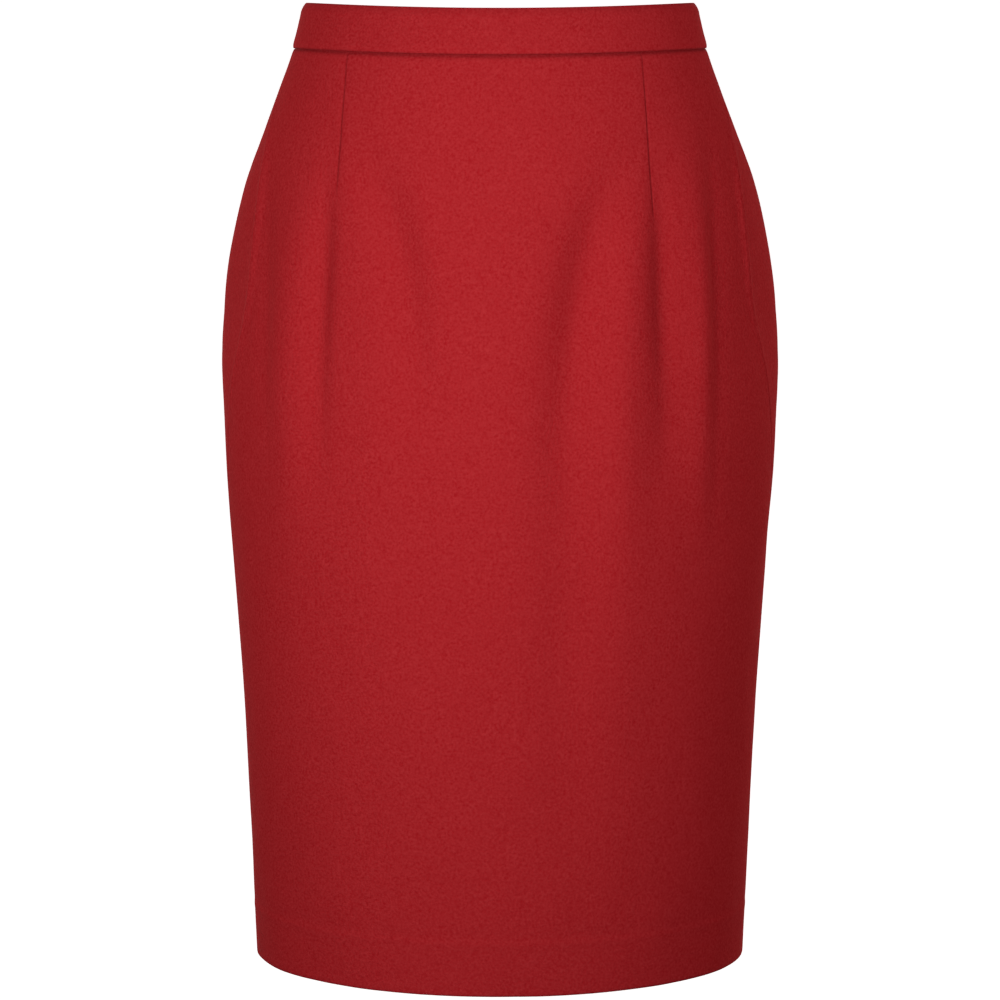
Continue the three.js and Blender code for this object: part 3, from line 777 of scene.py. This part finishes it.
def make_pull(material):
    """The pull tab: a rounded plate with a slot for the slider's eye, and a raised field."""
    top, bottom, bar, slot, foot = 2.3, 3.2, 0.6, 0.95, 3.2
    rim = arc(0, bottom - PULL_LENGTH, bottom, 180, 360, 33)
    rim += [(top, -0.2), (top - 0.4, bar), (-top + 0.4, bar), (-top, -0.2)]
    hole = [(-slot, -bar), (-slot, 0.5 - foot), (-slot + 0.4, -foot), (slot - 0.4, -foot)]
    hole += [(slot, 0.5 - foot), (slot, -bar)]
    field = arc(0, bottom - PULL_LENGTH + 0.4, bottom - 1.1, 180, 360)
    field += [(top - 0.95, -5.2), (-top + 0.95, -5.2)]
    tab = plate_object("pull_tab", material, [rim, hole], 1.2, 0.35, out=HINGE_OUT)
    raised = plate_object("pull_panel", material, [field], 1.5, 0.2, out=HINGE_OUT)
    return join("zip_pull_enamel", [tab, raised])


# ---- materials

PAINTED_SHADE_DARKER = 0.4  # how much of its colour the cloth loses under full painted shade


class Nodes:
    """A material's shader nodes, added and linked by name."""

    def __init__(self, name):
        self.material = bpy.data.materials.new(name)
        self.material.use_nodes = True
        self.tree = self.material.node_tree
        self.where = self.add("TexCoord").outputs["Object"]

    def fill(self, node, inputs):
        """Links each input that is given a socket, and sets the others on the node itself."""
        for socket, value in inputs.items():
            if isinstance(value, bpy.types.NodeSocket):
                self.tree.links.new(value, node.inputs[socket])
            else:
                node.inputs[socket].default_value = value

    def add(self, kind, inputs=None, **settings):
        node = self.tree.nodes.new("ShaderNode" + kind)
        for key, value in settings.items():
            setattr(node, key, value)
        self.fill(node, inputs or {})
        return node

    def finish(self, colour, normal, inputs):
        """Fills the material's own shader, and gives the material."""
        inputs = {"Base Color": colour, "Normal": normal, **inputs}
        self.fill(self.tree.nodes["Principled BSDF"], inputs)
        return self.material

    def noise(self, scale, detail=2, roughness=0.5):
        inputs = {"Vector": self.where, "Scale": scale, "Detail": detail, "Roughness": roughness}
        return self.add("TexNoise", inputs).outputs["Fac"]

    def math(self, operation, first, second, third=0.0):
        return self.add("Math", {0: first, 1: second, 2: third}, operation=operation).outputs[0]

    def varied(self, value, texture, by):
        """A value moved up and down by a texture, by this much from its black to its white."""
        return self.math("MULTIPLY_ADD", self.math("SUBTRACT", texture, 0.5), by, value)

    def ramp(self, factor, stops):
        node = self.add("ValToRGB", {"Fac": factor})
        for element, (at, colour) in zip(node.color_ramp.elements, stops):
            element.position = at
            element.color = (*colour, 1)
        return node.outputs["Color"]

    def tones(self, factor, colour, *stops):
        """Darker and lighter tones of a colour: a place on the ramp and a share for each."""
        return self.ramp(factor, [(at, [min(1, c * by) for c in colour]) for at, by in stops])

    def bump(self, height, distance, strength, **more):
        inputs = {"Height": height, "Distance": distance, "Strength": strength, **more}
        return self.add("Bump", inputs).outputs["Normal"]


def wool_crepe(cloth):
    """Matt wool crepe: tightly twisted yarn with a fine pebbled face, flecks of lighter and darker
    fibre, a soft bloom where it is seen edge on, and painted shade in its ditches and creases."""
    n = Nodes("crepe_cloth")
    speck = n.noise(640, 1, 0.4)
    grain = n.noise(1700, 3, 0.62)
    lively = n.math("ADD", n.noise(95), 0.5)
    mix = n.varied(0.5, speck, lively)
    mix = n.varied(mix, grain, 0.3)
    mix = n.varied(mix, n.noise(22), 0.07)
    colour = n.ramp(mix, [(0.2, cloth.dark_yarn), (0.8, cloth.light_yarn)])
    # Painted shade: the colour darkens by the mesh's shade attribute, in ditches and creases.
    painted_shade = n.add("Attribute", attribute_name="painted_shade").outputs["Fac"]
    tone = n.math("MULTIPLY_ADD", painted_shade, -PAINTED_SHADE_DARKER, 1)
    colour = n.add("VectorMath", {0: colour, "Scale": tone}, operation="SCALE").outputs[0]
    pebble = n.add("TexVoronoi", {"Vector": n.where, "Scale": 1250}).outputs["Distance"]
    height = n.math("MULTIPLY_ADD", pebble, -0.5, n.math("ADD", grain, speck))
    fine = n.bump(height, cloth.pebble_depth, 0.8)
    uneven = n.bump(n.noise(120, 3, 0.55), 0.0004, 0.35, Normal=fine)
    matt = {"Roughness": cloth.roughness, "Specular IOR Level": 0.01}
    bloom = {"Sheen Weight": cloth.sheen, "Sheen Roughness": 0.3, "Sheen Tint": (1, 0.72, 0.7, 1)}
    return n.finish(colour, uneven, {**matt, **bloom})


def zip_tape_cloth(fastening):
    """Smooth woven tape with a close herringbone."""
    n = Nodes("woven_tape")
    inputs = {"Vector": n.where, "Scale": 380, "Distortion": 1.5, "Detail": 1, "Detail Scale": 30}
    wave = n.add("TexWave", inputs, bands_direction="DIAGONAL").outputs["Fac"]
    weave = n.math("MULTIPLY_ADD", wave, 0.6, n.math("MULTIPLY", n.noise(1600), 0.4))
    colour = n.tones(weave, fastening.tape_colour, (0.2, 0.75), (0.8, 1.2))
    matt = {"Roughness": 0.85, "Specular IOR Level": 0.06}
    bloom = {"Sheen Weight": 0.04, "Sheen Tint": (1, 0.6, 0.6, 1)}
    return n.finish(colour, n.bump(weave, 0.00012, 0.8), {**matt, **bloom})


def coil_nylon(fastening):
    """Smooth moulded nylon, a little uneven in tone."""
    n = Nodes("coil_nylon")
    colour = n.tones(n.noise(500), fastening.tape_colour, (0.3, 0.85), (0.7, 1.25))
    smooth_face = {"Roughness": 0.4, "Specular IOR Level": 0.25}
    return n.finish(colour, n.bump(n.noise(2500), 0.00004, 0.5), smooth_face)


def baked_enamel(fastening):
    """Enamel over metal, with a fine orange peel and slight wear."""
    n = Nodes("baked_enamel")
    colour = n.tones(n.noise(260, 3, 0.6), fastening.enamel_colour, (0.3, 0.88), (0.72, 1.15))
    wear = n.math("MULTIPLY_ADD", n.noise(700, 3, 0.6), 0.18, 0.24)
    gloss = {"Specular IOR Level": 0.14, "Coat Weight": 0.06, "Coat Roughness": 0.12}
    return n.finish(colour, n.bump(n.noise(1400), 0.00003, 0.6), {"Roughness": wear, **gloss})


def studio_paper(studio):
    """Evenly lit paper, which glows a little of itself."""
    n = Nodes("studio_paper")
    colour = n.tones(n.noise(3, 3), studio.paper_colour, (0.3, 0.99), (0.7, 1))
    glow = {"Emission Color": (1, 1, 1, 1), "Emission Strength": studio.paper_glow}
    return n.finish(colour, n.bump(n.noise(60), 0.0004, 0.3), {"Roughness": 0.9, **glow})


# ---- settings

COLOUR = {"size": 3, "min": 0, "max": 1, "subtype": "COLOR"}
SHARE = {"min": 0, "max": 1, "subtype": "FACTOR"}


class SkirtCloth(PropertyGroup):
    """The crepe and how it is sewn."""

    row_step: FloatProperty(
        name="Row spacing",
        description="Distance between the mesh rows down the panels",
        default=0.0029,
        unit="LENGTH",
    )
    dart_depth: FloatProperty(
        name="Dart depth",
        description="How deep a dart's stitching draws the cloth in",
        default=0.0011,
        unit="LENGTH",
    )
    pebble_depth: FloatProperty(
        name="Pebble depth",
        description="Height of the crepe's pebbled face",
        default=0.00022,
        unit="LENGTH",
    )
    roughness: FloatProperty(
        name="Roughness",
        description="How matt the crepe is",
        default=0.92,
        **SHARE,
    )
    sheen: FloatProperty(
        name="Bloom",
        description="Strength of the soft bloom of loose fibre",
        default=0.03,
        **SHARE,
    )
    dark_yarn: FloatVectorProperty(
        name="Dark yarn",
        description="Colour in the hollows between the twisted yarns",
        default=(0.415, 0.0126, 0.018),
        **COLOUR,
    )
    light_yarn: FloatVectorProperty(
        name="Light yarn",
        description="Colour on the crowns of the twisted yarns",
        default=(0.505, 0.0328, 0.0385),
        **COLOUR,
    )


class SkirtFastening(PropertyGroup):
    """The zip at the back centre."""

    coil_pitch: FloatProperty(
        name="Coil pitch",
        description="Distance between two loops of the coil on one tape",
        default=0.0021,
        unit="LENGTH",
    )
    tape_colour: FloatVectorProperty(
        name="Tape colour",
        description="Colour of the zip's tapes and coil",
        default=(0.3, 0.014, 0.018),
        **COLOUR,
    )
    enamel_colour: FloatVectorProperty(
        name="Enamel colour",
        description="Colour of the slider and its pull tab",
        default=(0.33, 0.008, 0.011),
        **COLOUR,
    )


class SkirtStudio(PropertyGroup):
    """The room, its lights and the camera."""

    camera_distance: FloatProperty(
        name="Camera distance",
        description="Distance from the waist to the camera",
        default=2.5,
        unit="LENGTH",
    )
    camera_tilt: FloatProperty(
        name="Camera tilt",
        description="How far below the horizon the camera looks",
        default=math.radians(6.6),
        subtype="ANGLE",
    )
    focal_length: FloatProperty(
        name="Focal length",
        description="Focal length in millimetres, on a sensor 36 mm wide",
        default=140.5,
    )
    floor_depth: FloatProperty(
        name="Floor depth",
        description="How far below the waist the floor lies",
        default=1.04,
        unit="LENGTH",
    )
    key_power: FloatProperty(
        name="Key light",
        description="Power of the soft light in front and a little to the left, in watts",
        default=4.2,
    )
    fill_power: FloatProperty(
        name="Fill light",
        description="Power of the soft light above and to the right, in watts",
        default=1.68,
    )
    rim_power: FloatProperty(
        name="Rim lights",
        description="Power of each of the two soft lights behind the sides, in watts",
        default=5,
    )
    room_light: FloatProperty(
        name="Room light",
        description="Strength of the light from all round",
        default=0.136,
    )
    room_colour: FloatVectorProperty(
        name="Room colour",
        description="Colour of the light from all round and behind, which the cloth has warmed",
        default=(1, 0.45, 0.43),
        **COLOUR,
    )
    paper_glow: FloatProperty(
        name="Paper glow",
        description="Light that the evenly lit paper sends back of itself",
        default=0.95,
    )
    paper_colour: FloatVectorProperty(
        name="Paper colour",
        description="Colour of the floor and backdrop",
        default=(0.93, 0.93, 0.93),
        **COLOUR,
    )


# ---- operators


def crepe_of(context):
    return bpy.data.materials.get("crepe_cloth") or wool_crepe(context.scene.skirt_cloth)


def stand_for(piece, node, body="skirt"):
    """The piece takes the place of a solid of the frame, which is hidden, and moves with its body.
    """
    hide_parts(node)
    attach(piece, body)


LIT_HEIGHT = -0.28  # the middle of the skirt, which the lights face

# The soft lights: azimuth and elevation in degrees, distance and size in metres.
KEY = (-18.5, 10, 0.9, 0.6)
FILL = (24, 30, 0.9, 0.6)
LEFT_RIM = (-130, 20, 1.2, 0.8)
RIGHT_RIM = (125, 5, 1.2, 0.8)


class SKIRT_OT_studio(Operator):
    """Set the camera, the floor, the backdrop and the lights"""

    bl_idname = "skirt.studio"
    bl_label = "Studio"

    def execute(self, context):
        scene = context.scene
        studio = scene.skirt_studio
        lens = bpy.data.cameras.new("camera")
        lens.sensor_width = 36
        lens.lens = studio.focal_length
        camera = bpy.data.objects.new("camera", lens)
        camera.location = (0, -studio.camera_distance, 0)
        camera.rotation_euler = (math.pi / 2 - studio.camera_tilt, 0, 0)
        scene.collection.objects.link(camera)
        scene.camera = camera
        scene.view_settings.view_transform = "Standard"
        world = bpy.data.worlds.new("room")
        world.use_nodes = True
        room = world.node_tree.nodes["Background"]
        room.inputs["Color"].default_value = (*studio.room_colour, 1)
        room.inputs["Strength"].default_value = studio.room_light
        scene.world = world
        self.soft_light("key", *KEY, studio.key_power)
        self.soft_light("fill", *FILL, studio.fill_power)
        warm = studio.room_colour
        self.soft_light("left_rim", *LEFT_RIM, studio.rim_power).color = warm
        self.soft_light("right_rim", *RIGHT_RIM, studio.rim_power).color = warm
        self.backdrop(studio)
        return {"FINISHED"}

    def soft_light(self, name, azimuth, elevation, distance, size, power):
        """A round soft light that faces the skirt's middle from that side and height."""
        light = bpy.data.lights.new(name, "AREA")
        light.shape = "DISK"
        light.size = size
        light.energy = power
        lamp = bpy.data.objects.new(name, light)
        side, high = math.radians(azimuth), math.radians(elevation)
        way = Matrix.Rotation(side, 3, "Z") @ Matrix.Rotation(-high, 3, "X") @ Vector((0, -1, 0))
        lamp.location = Vector((0, 0, LIT_HEIGHT)) + way * distance
        lamp.visible_camera = False
        lamp.rotation_euler = (-way).to_track_quat("-Z", "Y").to_euler()
        bpy.context.collection.objects.link(lamp)
        return light

    def backdrop(self, studio):
        """A round studio of pale paper, its floor swept up into a wall all round."""
        floor = -studio.floor_depth
        bend, radius, high = 1.8, 6.5, 6.0
        corner = arc(radius - bend, floor + bend, bend, -90, 0, 20)
        line = [(0.02, floor), *corner, (radius, high)]
        around = np.arange(96) * 2 * math.pi / 96
        points = [(r * math.cos(t), r * math.sin(t), z) for r, z in line for t in around]
        walls = tube_faces(len(line), len(around))[:1]
        paper = mesh_object("studio_paper", np.array(points) / MM, walls, studio_paper(studio))
        paper.visible_diffuse = False
        paper.visible_shadow = False


class SKIRT_OT_panels(Operator):
    """Cut, dart, fold and hang the front panel and the two back panels"""

    bl_idname = "skirt.panels"
    bl_label = "Panels"

    def execute(self, context):
        crepe = crepe_of(context)
        for node, make in (
            ("front_panel", make_front_panel),
            ("back_panel_left", make_back_left),
            ("back_panel_right", make_back_right),
        ):
            piece, (width, length, area) = make(context.scene.skirt_cloth, crepe)
            stand_for(piece, node)
        return {"FINISHED"}


class SKIRT_OT_waistband(Operator):
    """Fold and shape the waistband with its facing"""

    bl_idname = "skirt.waistband"
    bl_label = "Waistband"

    def execute(self, context):
        band, flat = make_waistband(crepe_of(context))
        stand_for(band, "waistband")
        return {"FINISHED"}


class SKIRT_OT_zip(Operator):
    """Set in the zip: its tapes, coil, slider and pull tab"""

    bl_idname = "skirt.zip"
    bl_label = "Zip"

    def execute(self, context):
        fastening = context.scene.skirt_fastening
        woven, enamel = zip_tape_cloth(fastening), baked_enamel(fastening)
        near, far = ZIP_OPEN, ZIP_OPEN + TAPE_WIDTH
        # Past the back centre the angle grows towards the wearer's right.
        for side, start, end in (("left", -far, -near), ("right", near, far)):
            tape = make_zip_tape(f"zip_tape_{side}_woven", start, end, woven)
            stand_for(tape, f"zip_tape_{side}")
        stand_for(make_zip_coil(fastening, coil_nylon(fastening)), "zip_coil")
        stand_for(make_slider(enamel), "zip_slider")
        stand_for(make_pull(enamel), "zip_pull", "pull")
        return {"FINISHED"}


class SKIRT_PT_sidebar(Panel):
    """The skirt's settings and steps"""

    bl_label = "Pencil skirt"
    bl_space_type = "VIEW_3D"
    bl_region_type = "UI"
    bl_category = "Skirt"

    def draw(self, context):
        for name, group in GROUPS.items():
            box = self.layout.box()
            for setting in group.__annotations__:
                box.prop(getattr(context.scene, name), setting)
        for step in STEPS:
            self.layout.operator(step.bl_idname)


GROUPS = {
    "skirt_cloth": SkirtCloth,
    "skirt_fastening": SkirtFastening,
    "skirt_studio": SkirtStudio,
}
STEPS = (SKIRT_OT_studio, SKIRT_OT_panels, SKIRT_OT_waistband, SKIRT_OT_zip)
CLASSES = (*GROUPS.values(), *STEPS, SKIRT_PT_sidebar)


def register():
    for one in CLASSES:
        bpy.utils.register_class(one)
    for name, group in GROUPS.items():
        setattr(bpy.types.Scene, name, PointerProperty(type=group))


def unregister():
    for name in GROUPS:
        delattr(bpy.types.Scene, name)
    for one in reversed(CLASSES):
        bpy.utils.unregister_class(one)


def main():
    register()
    bpy.ops.skirt.studio()
    bpy.ops.skirt.panels()
    bpy.ops.skirt.waistband()
    bpy.ops.skirt.zip()


if __name__ == "__main__":
    main()
